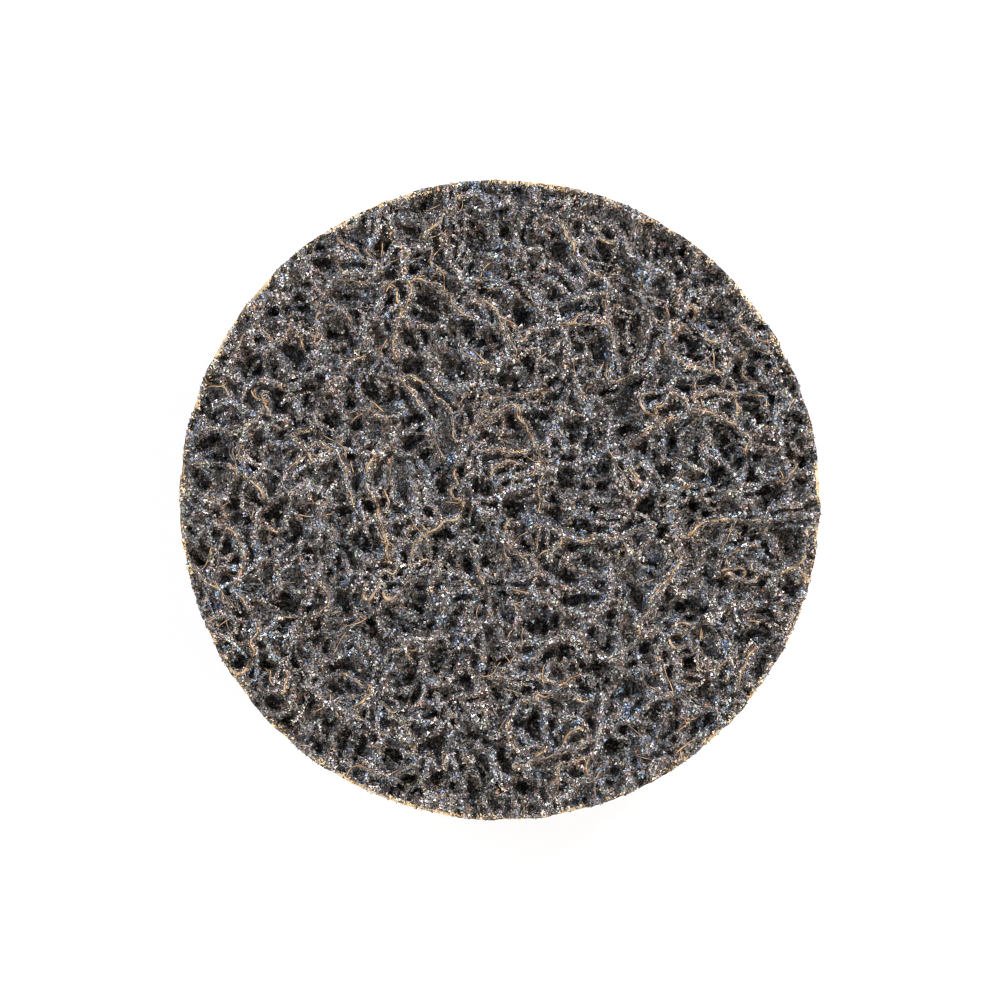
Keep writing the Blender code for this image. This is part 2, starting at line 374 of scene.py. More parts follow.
veins = {  # long fibres along the ridges, in places bare and tan
    "count": 190,
    "radius": 0.098 * mm,
    "spread": 0.18,
    "length": (2.5 * mm, 14.0 * mm),
    "stride": 0.17 * mm,
    "bend": 0.35,  # radians per millimetre, here and below
    "bendPitch": 1.1 * mm,
    "follow": 0.8,  # how firmly it keeps to its ridge
    "deepest": 1.15 * mm,  # deeper than this it would be grey with grit
    "lift": (0.5, 2.4),  # of its radius: middle and swing of its height over the ridge
    "swell": 0.22,
    "chips": 12000,
    "chipShare": 0.6,
    "seed": 5,
}
cords = {  # fibres wholly in grit and resin, thick and lumpy, that cross over the hollows
    "count": 210,
    "radius": 0.13 * mm,
    "spread": 0.22,
    "length": (1.5 * mm, 5.0 * mm),
    "stride": 0.2 * mm,
    "bend": 0.8,
    "bendPitch": 0.9 * mm,
    "follow": 0.0,
    "deepest": 1.3 * mm,
    "lift": (0.0, 1.5),
    "swell": 0.55,
    "chips": 13000,
    "chipShare": 0.85,
    "seed": 12,
}
hairs = {  # fine loose fibre ends, bare
    "count": 150,
    "radius": 0.052 * mm,
    "spread": 0.15,
    "length": (0.9 * mm, 3.2 * mm),
    "stride": 0.15 * mm,
    "bend": 1.2,
    "bendPitch": 0.8 * mm,
    "follow": 0.0,
    "deepest": 0.7 * mm,
    "lift": (2.0, 1.5),
    "swell": 0.08,
    "seed": 8,
}
ends = {  # fibres laid bare where the die cut the web
    "count": 420,
    "radius": 0.07 * mm,
    "spread": 0.2,
    "length": (0.7 * mm, 3.0 * mm),
    "stride": 0.22 * mm,
    "bend": 0.6,
    "swell": 0.15,
    "start": 0.15 * mm,  # lowest start over the web's foot
    "startSpan": 4.0 * mm,
    "topGap": 0.3 * mm,
    "out": (0.2, 2.2),  # of its radius: how far it stands proud of the side
    "seed": 31,
}
walk = {  # how a strand finds its ridge and keeps to it
    "edgeGap": 0.2 * mm,
    "settleSteps": 8,  # steps by which its start slides onto a crest
    "settleShare": 0.7,
    "settled": 0.1 * mm,
    "cellSide": 2.5,  # of its radius: side of the cells that it takes up
    "mostBeside": 2,  # steps that it may lie beside another
    "riseGain": 1.6,  # a noise seldom comes near 1
    "risePitch": 1.3 * mm,
    "bendGain": 1.8,
    "holdShare": 0.25,  # of its slip from the crest, made good at each step
    "mostTurn": 1.1 * math.pi,  # a fibre doesn't close into a ring
    "fewestPoints": 4,
    "tuck": 3.0,  # of its radius: how far its ends dip into the mass
    "swellPitch": 0.35 * mm,
}


def crestSlip(layer, spot):
    # The vector from a spot to the crest of its ridge, and the way along that crest
    field, across, down, _ = layers[layer]
    slope = Vector([float(readRaster(raster, spot.x, spot.y)) for raster in (across, down)] + [0.0])
    steep = max(slope.length, ridges["flattest"] / ridges["layers"][layer][0])
    slip = slope * (-float(readRaster(field, spot.x, spot.y)) / steep ** 2)
    return slip, Vector((-slope.y, slope.x, 0.0)).normalized()


def walkRoute(chance, kind, radius, taken):
    # Walks along the crest of a ridge, or freely, bending with a slow noise, and stops beside another
    reach = web["radius"] - walk["edgeGap"]
    layer = chance.randrange(len(layers) - 1)
    distance = reach * math.sqrt(chance.random())
    around = math.tau * chance.random()
    spot = Vector((distance * math.cos(around), distance * math.sin(around), 0.0))
    heading = math.tau * chance.random()
    strain = chance.uniform(0.0, 1000.0)  # its own stretch of the noise
    middle, swing = kind["lift"]
    if kind["follow"]:
        for _ in range(walk["settleSteps"]):
            slip, _ = crestSlip(layer, spot)
            spot += slip * walk["settleShare"]
        if slip.length > walk["settled"]:
            return []
    route, cells, beside, turned = [], set(), 0, 0.0
    for step in range(int(chance.uniform(*kind["length"]) / kind["stride"])):
        if spot.length > reach:
            break
        crest = float(readRaster(layers[layer][3], spot.x, spot.y))
        if web["faceZ"] - crest > kind["deepest"]:
            break
        cell = tuple(round(side / radius / walk["cellSide"]) for side in spot.xy)
        beside = beside + 1 if cell in taken else 0
        if beside > walk["mostBeside"]:
            break
        cells.add(cell)
        along = step * kind["stride"]
        sway = noise.noise(Vector((along / walk["risePitch"], strain, 7.0)))
        rise = middle + swing * walk["riseGain"] * sway
        route.append(Vector((spot.x, spot.y, crest + rise * radius)))
        sway = noise.noise(Vector((along / kind["bendPitch"], strain, 0.0)))
        bend = kind["bend"] * walk["bendGain"] * sway
        heading += bend * kind["stride"] / mm
        ahead = aim(heading)
        before = heading
        if kind["follow"]:
            slip, crestway = crestSlip(layer, spot)
            if crestway.dot(ahead) < 0.0:
                crestway.negate()
            ahead = (ahead * (1.0 - kind["follow"]) + crestway * kind["follow"]).normalized()
            heading = math.atan2(ahead.y, ahead.x)
            spot = spot + slip * walk["holdShare"]
        turned += bend * kind["stride"] / mm + math.remainder(heading - before, math.tau)
        if abs(turned) > walk["mostTurn"]:
            break
        spot = spot + ahead * kind["stride"]
    if len(route) > walk["fewestPoints"]:
        taken |= cells
    return route


def layRoutes(kind):
    chance = random.Random(kind["seed"])
    routes, taken = [], set()
    while len(routes) < kind["count"]:
        radius = kind["radius"] * math.exp(kind["spread"] * chance.gauss(0.0, 1.0))
        route = walkRoute(chance, kind, radius, taken)
        if len(route) > walk["fewestPoints"]:
            routes.append((radius, route))
    return routes


def layRimRoutes():
    # Short cut fibres that lie in the side of the web, all ways round
    chance = random.Random(ends["seed"])
    routes = []
    for _ in range(ends["count"]):
        radius = ends["radius"] * math.exp(ends["spread"] * chance.gauss(0.0, 1.0))
        angle, rise = chance.uniform(0.0, math.tau), chance.uniform(0.0, 1.0)
        heading, bend = chance.uniform(0.0, math.tau), chance.gauss(0.0, ends["bend"])
        out = radius * chance.uniform(*ends["out"])
        height = web["backZ"] + ends["start"] + rise * ends["startSpan"]
        route = []
        for _ in range(int(chance.uniform(*ends["length"]) / ends["stride"])):
            if not web["backZ"] + radius < height < web["faceZ"] - ends["topGap"]:
                break
            spot = aim(angle) * web["radius"]
            spot.z = height
            reach = web["radius"] - rimRecess(spot, web["faceZ"] - height) - radius + out
            reach = min(reach, cadHigh.x - 2.0 * radius)
            route.append(Vector((math.cos(angle) * reach, math.sin(angle) * reach, height)))
            angle += math.cos(heading) * ends["stride"] / web["radius"]
            height += math.sin(heading) * ends["stride"]
            heading += bend * ends["stride"] / mm
        if len(route) >= walk["fewestPoints"]:
            routes.append((radius, route))
    return routes


def strandMesh(name, kind, routes):
    # All the strands of one kind as one bevelled curve, made a mesh
    curve = newCurve(name)
    curve.bevel_depth = 1.0
    curve.bevel_resolution = 0  # four sides are enough for a strand so thin
    for radius, route in routes:
        points = addSpline(curve, len(route)).points
        for index, (point, place) in enumerate(zip(points, route)):
            tuck = walk["tuck"] * radius if index in (0, len(route) - 1) else 0.0
            if kind is ends:
                place = place - Vector((place.x, place.y, 0.0)).normalized() * tuck
                tuck = 0.0
            height = min(place.z - tuck, cadHigh.z - radius)
            point.co = (place.x, place.y, height, 1.0)
            point.radius = radius * (1.0 + kind["swell"] * noise.noise(place / walk["swellPitch"]))
    return meshOfCurve(name, curve)


# The resin-coated mass

def roundedGrid(cells):
    # A square grid pressed out into a disc, ring by ring, so that its cells stay even
    bm = bmesh.new()
    bmesh.ops.create_grid(bm, x_segments=cells, y_segments=cells, size=1.0)
    for vert in bm.verts:
        u, v = vert.co.x, vert.co.y
        ring = max(abs(u), abs(v))
        if ring == 0.0:
            continue
        if abs(u) >= abs(v):
            angle = math.pi / 4.0 * (v / u) + (math.pi if u < 0.0 else 0.0)
        else:
            angle = math.pi / 2.0 - math.pi / 4.0 * (u / v) + (math.pi if v < 0.0 else 0.0)
        vert.co = aim(angle) * ring
    return bm


def buildMass(material):
    bm = roundedGrid(web["gridCells"])
    radius = web["radius"]
    shift = web["gridJitter"] * 2.0 * radius / web["gridCells"]
    soft = radius - rim["softBand"]
    for vert in bm.verts:
        spot = vert.co * radius
        out = spot.length
        if not vert.is_boundary and out < radius - 2.0 * shift:
            spot += scatterOf(spot / web["gridJitterPitch"]) * shift
        if out > soft:
            edge = spot.normalized() * radius
            edge.z = web["faceZ"]
            spot -= spot.normalized() * rimRecess(edge, 0.0) * smoothStep(out, soft, radius)
        vert.co = Vector((spot.x, spot.y, 0.0))
    places = np.array([vert.co[:2] for vert in bm.verts])
    for vert, height in zip(bm.verts, readRaster(faceHeights, places[:, 0], places[:, 1])):
        vert.co.z = max(height, web["backZ"] + web["leastThickness"])
    border = [edge for edge in bm.edges if edge.is_boundary]
    tops = {vert: vert.co.z for edge in border for vert in edge.verts}
    for row in range(1, web["wallRows"] + 1):
        made = bmesh.ops.extrude_edge_only(bm, edges=border)["geom"]
        border = [part for part in made if isinstance(part, bmesh.types.BMEdge)]
        fresh = [part for part in made if isinstance(part, bmesh.types.BMVert)]
        tops = {vert: next(tops[edge.other_vert(vert)] for edge in vert.link_edges
                           if edge.other_vert(vert) in tops) for vert in fresh}
        for vert, top in tops.items():
            edge = Vector((vert.co.x, vert.co.y, 0.0)).normalized() * radius
            edge.z = top + (web["backZ"] - top) * row / web["wallRows"]
            inward = edge.xy.normalized() * (radius - rimRecess(edge, top - edge.z))
            vert.co = Vector((inward.x, inward.y, edge.z))
    bmesh.ops.holes_fill(bm, edges=[edge for edge in bm.edges if edge.is_boundary])
    bmesh.ops.recalc_face_normals(bm, faces=bm.faces)
    newPiece("webMass", meshFrom("webMass", bm), material, "resin_and_grain", True, "abrasive_web")


# Grit: angular chips bonded all over the mass and the coated strands

grit = {
    "across": 0.19 * mm,  # coarse grade, with a film of resin round each chip
    "spread": 0.34,  # of the natural logarithm of the size
    "stretch": (0.7, 1.35),
    "proud": 0.06,  # share of the size that the chip's middle stands over the surface
    "faceCount": 33000,
    "faceLayers": 3,
    "steepest": 2.4,  # slope factor past which a wall takes no more grit
    "edgeGap": 0.1 * mm,
    "rimCount": 20000,
    "rimShare": 1.1,
    "rimSink": 0.07 * mm,
    "bareRim": 0.42 * mm,  # how far in from the cut the coat is chipped off the nylon
    "bareColour": "#cdb083",
    "barePitch": 1.6 * mm,
    "bareTop": 1.2 * mm,  # below this the limit is the second one
    "bareLimits": (0.0, 0.24),
    "bareScatter": (0.25, 0.2),  # of the limit, and of the logarithm of the brightness
    "tones": (  # colour and share: black and brown resin, grey chips, pale fresh faces
        ("#1e1b18", 0.13), ("#403b36", 0.17), ("#6c6863", 0.24), ("#959390", 0.26), ("#b6b5b3", 0.16),
        ("#d8d8d7", 0.03), ("#8f7152", 0.02)),
    # Patches: pitches of the noises wide, patch, fine, clump and moss, and what each does
    "patches": tuple(pitch * mm for pitch in (4.5, 1.8, 0.7, 0.36, 0.5)),
    "dim": (0.2, 0.65, 0.2, 0.2),  # logarithm of the brightness: scatter, clump, patch and wide
    "light": (0.22, 0.95),  # painted shade and light: the grit's brightness in the deepest gloom, and what full light adds
    # painted light: the least light kept in the colour of chips at the cut side
    "edgeLight": 0.5,
    "tint": (0.17, 0.22, 0.95, 0.5, -0.25),  # warm against cool: middle, scatter, fine, patch, wide
    "palePull": (1.2, 0.1, 0.55),  # how pale chips keep off warm tints, at least, and cool ones
    "green": (0.10, 0.22),  # scatter and moss
    "brightest": 0.9,
    "seed": 21,
}


def chipMesh(name, count):
    # One closed four-sided chip, repeated by an array
    bm = bmesh.new()
    bmesh.ops.create_cone(bm, cap_ends=True, segments=3, radius1=0.5, radius2=0.0, depth=0.7)
    bmesh.ops.recalc_face_normals(bm, faces=bm.faces)
    holder = addObject(name + "_one", meshFrom(name + "_one", bm))
    copies = holder.modifiers.new("copies", "ARRAY")
    copies.count = count
    copies.use_relative_offset = False
    mesh = evaluated(holder)
    mesh.name = name
    return mesh


def randomTurns(draw, count):
    # Evenly spread rotations, as an array of matrices made from unit quaternions
    q = draw.normal(size=(count, 4))
    w, x, y, z = (q / np.linalg.norm(q, axis=1, keepdims=True)).T
    return np.stack([
        np.stack([1 - 2 * (y * y + z * z), 2 * (x * y - w * z), 2 * (x * z + w * y)], 1),
        np.stack([2 * (x * y + w * z), 1 - 2 * (x * x + z * z), 2 * (y * z - w * x)], 1),
        np.stack([2 * (x * z - w * y), 2 * (y * z + w * x), 1 - 2 * (x * x + y * y)], 1),
    ], 1)


def strewChips(name, places, outward, material, draw, share=1.0):
    # Sets one chip at each place, turned at random and half sunk along the outward direction
    count = len(places)
    mesh = chipMesh(name, count)
    corners = np.zeros(len(mesh.vertices) * 3)
    mesh.vertices.foreach_get("co", corners)
    corners = corners.reshape(count, -1, 3)
    corners = corners * draw.uniform(*grit["stretch"], corners.shape)
    sizes = np.clip(draw.normal(size=count), -2.0, 1.6)  # none too fine or too coarse for the grade
    across = grit["across"] * share * np.exp(grit["spread"] * sizes)
    corners = np.einsum("nij,nkj->nki", randomTurns(draw, count), corners) * across[:, None, None]
    corners += (places + outward * (grit["proud"] * across)[:, None])[:, None, :]
    corners[:, :, 2] = np.minimum(corners[:, :, 2], cadHigh.z)
    mesh.vertices.foreach_set("co", corners.astype(np.float32).ravel())
    paint = mesh.attributes.new("gritColour", "FLOAT_COLOR", "POINT")
    colours = np.repeat(chipColours(draw, places), corners.shape[1], axis=0)
    paint.data.foreach_set("color", colours.astype(np.float32).ravel())
    layCells(mesh, count)
    mesh.update()
    return newPiece(name, mesh, material, "resin_and_grain", False)


def layCells(mesh, count):
    # Gives each chip a square cell of its own in the UV map named OFBake
    side = math.ceil(math.sqrt(count))
    loops = len(mesh.loops) // count
    corner = np.tile(np.array([[0.25, 0.25], [0.75, 0.25], [0.25, 0.75]]), (loops // 3, 1))
    index = np.arange(count)
    cell = np.stack([index % side, index // side], 1)
    uv = (cell[:, None, :] + corner[None, :, :]) / side
    layer = mesh.uv_layers.new(name="OFBake")
    layer.data.foreach_set("uv", uv.astype(np.float32).ravel())


def chipColours(draw, places):
    # Each chip takes a tone and a tint, dimmed in broad patches, and darker low down by painted shade
    count = len(places)
    shares = np.array([share for _, share in grit["tones"]])
    tones = np.array([toLinear(hexColour) for hexColour, _ in grit["tones"]])
    picked = tones[draw.choice(len(shares), count, p=shares / shares.sum())]
    wide, patch, fine, clump, moss = (
        np.array([tiltedNoise(Vector(place) / pitch) for place in places]) for pitch in grit["patches"])
    edge = np.hypot(places[:, 0], places[:, 1]) > web["radius"] - grit["bareRim"]
    # painted shade: the deeper a chip lies, the darker its colour; at the cut side painted light holds it
    # up
    gloom = np.exp((places[:, 2] - web["faceZ"]) / web["gloom"])
    gloom = np.where(edge, np.maximum(gloom, grit["edgeLight"]), gloom)
    scatter, byClump, byPatch, byWide = grit["dim"]
    dim = np.exp(scatter * draw.normal(size=count) + byClump * clump + byPatch * patch + byWide * wide)
    dim *= grit["light"][0] + grit["light"][1] * gloom
    middle, scatter, byFine, byPatch, byWide = grit["tint"]
    tint = middle + scatter * draw.normal(size=count)
    tint += byFine * fine + byPatch * patch + byWide * wide
    pale = picked[:, 1] ** 0.5
    offWarm, least, offCool = grit["palePull"]
    tint *= np.where(tint > 0.0, np.maximum(1.0 - offWarm * pale, least), 1.0 - offCool * pale)
    green = grit["green"][0] * draw.normal(size=count) + grit["green"][1] * moss
    warmth = np.stack([np.exp(tint), np.exp(green), np.exp(-tint)], 1)
    picked[:, :3] = picked[:, :3] * dim[:, None] * warmth
    tall = Vector((1.0, 1.0, 0.25))  # bare patches are taller than wide
    along = np.array([noise.noise(Vector(place) * tall / grit["barePitch"]) for place in places])
    limit = np.where(places[:, 2] > web["faceZ"] - grit["bareTop"], *grit["bareLimits"])
    byLimit, byColour = grit["bareScatter"]
    bare = edge & (along + byLimit * draw.normal(size=count) > limit)
    picked[bare] = toLinear(grit["bareColour"]) * np.exp(byColour * draw.normal(size=(bare.sum(), 1)))
    picked[:, :3] = np.clip(picked[:, :3], 0.0, grit["brightest"])
    return picked


def faceSpots(draw, count):
    # Even over the relief: a steep wall holds more grit than its plan shows
    reach = web["radius"] - grit["edgeGap"]
    radius = reach * np.sqrt(draw.uniform(0.0, 1.0, count * 3))
    angle = draw.uniform(0.0, math.tau, count * 3)
    x, y = radius * np.cos(angle), radius * np.sin(angle)
    across, down = readRaster(slopeColumns, x, y), readRaster(slopeRows, x, y)
    steep = np.sqrt(1.0 + across ** 2 + down ** 2)
    keep = np.flatnonzero(draw.uniform(0.0, grit["steepest"], count * 3) < steep)[:count]
    x, y, across, down = x[keep], y[keep], across[keep], down[keep]
    outward = np.stack([-across, -down, np.ones(len(keep))], 1)
    outward /= np.linalg.norm(outward, axis=1, keepdims=True)
    return np.stack([x, y, readRaster(faceHeights, x, y)], 1), outward


def rimSpots(draw, count):
    places, outward = [], []
    for _ in range(count):
        angle = draw.uniform(0.0, math.tau)
        aside = aim(angle)
        edge = aside * (web["radius"] - grit["edgeGap"])
        top = float(readRaster(faceHeights, edge.x, edge.y))
        spot = aside * web["radius"]
        spot.z = web["backZ"] + (top - web["backZ"]) * draw.uniform(0.02, 1.0)
        place = aside * (web["radius"] - rimRecess(spot, top - spot.z) - grit["rimSink"])
        places.append((place.x, place.y, spot.z))
        outward.append(aside)
    return np.array(places), np.array(outward)


def strandSpots(draw, kind, routes):
    # Spots on the upper and side faces of the strands
    count = kind["chips"]
    middles = np.array([place for _, route in routes for place in route])
    radii = np.array([radius for radius, route in routes for _ in route])
    pick = draw.integers(0, len(middles), count)
    outward = draw.normal(size=(count, 3))
    outward[:, 2] = np.abs(outward[:, 2])
    outward /= np.linalg.norm(outward, axis=1, keepdims=True)
    jitter = draw.uniform(-0.5, 0.5, (count, 3)) * kind["stride"] * np.array([1.0, 1.0, 0.2])
    return middles[pick] + jitter + outward * radii[pick][:, None] * 0.9, outward


# Materials

def facetNormals(material, shader, place, across, strength):
    # Turns the normal a little in each small cell, as the faces of crushed grain do
    cells = addNode(material, "TexVoronoi", feeds={"Scale": 1.0 / across, "Vector": place})
    centred = addNode(material, "VectorMath", {"operation": "SUBTRACT"},
                      {0: cells.outputs["Color"], 1: (0.5, 0.5, 0.5)})
    turned = addNode(material, "VectorMath", {"operation": "SCALE"},
                     {0: centred.outputs[0], "Scale": strength})
    normal = addNode(material, "NewGeometry").outputs["Normal"]
    mixed = addNode(material, "VectorMath", {"operation": "ADD"}, {0: normal, 1: turned.outputs[0]})
    level = addNode(material, "VectorMath", {"operation": "NORMALIZE"}, {0: mixed.outputs[0]})
    setSockets(material, shader, {"Normal": level.outputs[0]})
    return cells


def resinMaterial():
    # Phenolic resin baked over nylon and fine grit: dark and faceted, with painted shade that takes it near
    # black where it lies deep
    material, shader = newMaterial("bakedPhenolicResin", Roughness=0.42, IOR=1.6)
    place = addNode(material, "TexCoord").outputs["Object"]
    cells = facetNormals(material, shader, place, 0.15 * mm, 1.3)
    parts = addNode(material, "SeparateColor", feeds={"Color": cells.outputs["Color"]})
    tone = addNode(material, "ValToRGB", feeds={"Fac": parts.outputs["Red"]}, stops=(
        (0.0, "#1d1814"), (1.0, "#b8b6b3"), (0.35, "#403932"), (0.7, "#726c66")))
    cast = addNode(material, "ValToRGB", feeds={"Fac": parts.outputs["Blue"]}, stops=(
        (0.0, "#ffd9b0"), (1.0, "#c4d6ff"), (0.5, "#f4efea")))
    tinted = addNode(material, "Mix", {"data_type": "RGBA", "blend_type": "MULTIPLY"},
                     {"Factor": 1.0, "A": tone.outputs["Color"], "B": cast.outputs["Color"]})
    # painted shade: the colour falls towards near black with depth under the face
    height = addNode(material, "SeparateXYZ", feeds={"Vector": place}).outputs["Z"]
    depth = addNode(material, "MapRange", feeds={
        "Value": height, "From Min": web["faceZ"] - 2.5 * mm, "From Max": web["faceZ"]})
    flat = addNode(material, "VectorMath", {"operation": "MULTIPLY"}, {0: place, 1: (1.0, 1.0, 0.0)})
    out = addNode(material, "VectorMath", {"operation": "LENGTH"}, {0: flat.outputs[0]})
    cut = addNode(material, "MapRange", feeds={  # painted light: the cut side is kept out of the painted shade
        "Value": out.outputs["Value"], "From Min": web["radius"] - 1.1 * mm,
        "From Max": web["radius"] - 0.2 * mm, "To Max": 0.75})
    light = addNode(material, "Math", {"operation": "MAXIMUM"},
                    {0: depth.outputs["Result"], 1: cut.outputs["Result"]})
    shade = addNode(material, "Mix", {"data_type": "RGBA"}, {
        "Factor": light.outputs[0], "A": toLinear("#1c1612"), "B": tinted.outputs["Result"]})
    setSockets(material, shader, {"Base Color": shade.outputs["Result"]})
    return material


def gritMaterial():
    # Silicon carbide grit under a thin resin film: black to pale grey chips that glint
    material, shader = newMaterial("siliconCarbideGrit", Roughness=0.44, IOR=1.65)
    place = addNode(material, "TexCoord").outputs["Object"]
    facetNormals(material, shader, place, 0.1 * mm, 0.5)
    paint = addNode(material, "Attribute", {"attribute_name": "gritColour"})
    setSockets(material, shader, {"Base Color": paint.outputs["Color"]})
    return material


def fibreMaterial():
    # Nylon fibre in a thin amber resin skin: pale tan, in places grey, with painted shade that turns it
    # amber and darker towards its outline
    material, shader = newMaterial("amberNylonFibre", Roughness=0.4, IOR=1.53)
    place = addNode(material, "TexCoord").outputs["Object"]
    mottle = addNode(material, "TexNoise", feeds={
        "Scale": 1.0 / (0.9 * mm), "Detail": 4.0, "Vector": place})
    colour = addNode(material, "ValToRGB", feeds={"Fac": mottle.outputs["Fac"]}, stops=(
        (0.36, "#453f38"), (0.68, "#b4976c"), (0.46, "#6d5b47"), (0.56, "#917854")))
    # painted shade: darker and amber where the fibre's side turns away from the view
    facing = addNode(material, "LayerWeight", feeds={"Blend": 0.35})
    edgeShaded = addNode(material, "Mix", {"data_type": "RGBA", "blend_type": "MULTIPLY"}, {
        "Factor": facing.outputs["Facing"], "A": colour.outputs["Color"], "B": toLinear("#c07f45")})
    setSockets(material, shader, {"Base Color": edgeShaded.outputs["Result"]})
    return material


# Woven scrim under the web: real yarns over a film of the resin that soaks them

scrim = {
    "yarnPitch": 1.05 * mm,
    "yarnWidth": 1.0 * mm,
    "yarnThickness": 0.34 * mm,
    "yarnSection": ((-1.0, 0.1), (-0.7, -0.7), (0.0, -1.0), (0.7, -0.7), (1.0, 0.1), (0.0, 0.8)),
    "yarnBend": 0.12 * mm,  # how far it weaves up and down
    "yarnSwell": 0.12,
    "skew": 0.16 * mm,  # the cloth isn't quite straight
    "skewPitch": 7.0 * mm,
    "filmSink": 0.38 * mm,  # underside of the film over the lowest yarns
    "filmRound": 0.1 * mm,
    "filmSegments": 720,
    "fray": 0.10 * mm,
    "frayPitch": (0.5 * mm, 0.4 * mm),  # of the yarns and of the film
    "swellPitch": 1.6 * mm,
    "edgeGap": 0.3 * mm,  # a yarn that would only graze the circle is left out
    "filament": 0.11 * mm,  # coarser than the real ones, which would be too fine to show
}


def yarnRoute(index, runsAlongX, end):
    # A yarn's way under and over those that cross it, from one side of the disc to the other
    pitch = scrim["yarnPitch"]
    across = (index + 0.5) * pitch
    middle = scrimLow.z + scrim["yarnThickness"] / 2.0 + scrim["yarnBend"]
    side = (-1.0 if index % 2 else 1.0) * (-1.0 if runsAlongX else 1.0)
    steps = math.ceil(end / pitch * 2.0)
    route = []
    for step in range(-steps, steps + 1):
        along = step * pitch / 2.0
        spot = Vector((along, across, 0.0)) if runsAlongX else Vector((across, along, 0.0))
        spot += scatterOf(spot / scrim["skewPitch"]) * scrim["skew"]
        spot.z = middle + side * scrim["yarnBend"] * math.cos(math.pi * (along / pitch - 0.5))
        route.append(spot)
    return route


def yarnMesh(name, runsAlongX):
    # All the yarns that run one way, cut off at the die's circle
    section = bpy.data.curves.new(name + "_section", "CURVE")
    outline = addSpline(section, len(scrim["yarnSection"]))
    outline.use_cyclic_u = True
    for point, (x, y) in zip(outline.points, scrim["yarnSection"]):
        point.co = (x * scrim["yarnWidth"] / 2.0, y * scrim["yarnThickness"] / 2.0, 0.0, 1.0)
    holder = addObject(name + "_section", section)
    curve = newCurve(name)
    curve.twist_mode = "Z_UP"
    curve.bevel_mode = "OBJECT"
    curve.bevel_object = holder
    radius = scrimHigh.x
    count = int(radius / scrim["yarnPitch"])
    for index in range(-count - 1, count + 1):
        nearest = abs((index + 0.5) * scrim["yarnPitch"]) - scrim["yarnWidth"] / 2.0
        if nearest > radius - scrim["edgeGap"]:
            continue
        route = yarnRoute(index, runsAlongX, math.sqrt(radius ** 2 - max(nearest, 0.0) ** 2))
        for point, place in zip(addSpline(curve, len(route)).points, route):
            point.co = (*place, 1.0)
            point.radius = 1.0 + scrim["yarnSwell"] * noise.noise(place / scrim["swellPitch"])
    mesh = meshOfCurve(name, curve)
    bpy.data.objects.remove(holder)
    for vert in mesh.vertices:
        out = math.hypot(vert.co.x, vert.co.y)
        fray = 0.5 + 0.5 * noise.noise(vert.co / scrim["frayPitch"][0])
        kept = min(1.0, (radius - scrim["fray"] * fray) / max(out, mm))
        vert.co.x *= kept
        vert.co.y *= kept
    return mesh


def filmMesh():
    # The resin film that fills the cloth, with the ragged edge that the die leaves
    low, high, radius = scrimLow.z + scrim["filmSink"], scrimHigh.z, scrimHigh.x
    mesh = spunMesh("scrimFilm", (
        (0.0, low), (radius - 0.05 * mm, low), (radius, low + scrim["filmRound"]),
        (radius, high - scrim["filmRound"]), (radius - 0.08 * mm, high), (0.0, high),
    ), scrim["filmSegments"])
    for vert in mesh.vertices:
        if math.hypot(vert.co.x, vert.co.y) > radius / 2.0:
            fray = scrim["fray"] * (0.5 + 0.5 * noise.noise(vert.co / scrim["frayPitch"][1]))
            vert.co.x *= 1.0 - fray / radius
            vert.co.y *= 1.0 - fray / radius
    return mesh


def streakNoise(material, place, runsAlongX, across, along):
    # Noise drawn out along a yarn, as an output between 0 and 1
    drawn = addNode(material, "VectorMath", {"operation": "MULTIPLY"}, {0: place, 1: (
        1.0 / (along if runsAlongX else across), 1.0 / (across if runsAlongX else along), 1.0 / across)})
    return addNode(material, "TexNoise", feeds={
        "Scale": 1.0, "Detail": 2.0, "Vector": drawn.outputs[0]}).outputs["Fac"]


def yarnMaterial(name, runsAlongX):
    # Polyester yarn soaked in amber resin: honey filaments, each yarn its own tone, with painted shade that
    # turns it brown in the gaps
    material, shader = newMaterial(name, Roughness=0.5, IOR=1.53)
    place = addNode(material, "TexCoord").outputs["Object"]
    filaments = streakNoise(material, place, runsAlongX, scrim["filament"], 1.6 * mm)
    tones = streakNoise(material, place, runsAlongX, 1.1 * mm, 9.0 * mm)
    bump = addNode(material, "Bump", feeds={
        "Strength": 0.7, "Distance": 0.05 * mm, "Height": filaments})
    colour = addNode(material, "ValToRGB", feeds={"Fac": tones}, stops=(
        (0.30, "#a5804f"), (0.70, "#dcc192"), (0.5, "#c2a170")))
    # painted shade: brown where the yarn lies deeper in the cloth, between the crossings
    height = addNode(material, "SeparateXYZ", feeds={"Vector": place}).outputs["Z"]
    gapShade = addNode(material, "MapRange", feeds={
        "Value": height, "From Min": scrimLow.z + 0.14 * mm,
        "From Max": scrimLow.z + 0.40 * mm, "To Max": 0.85})
    tone = addNode(material, "Mix", {"data_type": "RGBA"}, {
        "Factor": gapShade.outputs["Result"], "A": colour.outputs["Color"], "B": toLinear("#5a3a1c")})
    lines = addNode(material, "ValToRGB", feeds={"Fac": filaments},
                    stops=((0.35, "#b79b78"), (0.6, "#ffffff")))
    streak = addNode(material, "Mix", {"data_type": "RGBA", "blend_type": "MULTIPLY"},
                     {"Factor": 0.8, "A": tone.outputs["Result"], "B": lines.outputs["Color"]})
    setSockets(material, shader, {"Base Color": streak.outputs["Result"], "Normal": bump.outputs["Normal"]})
    return material


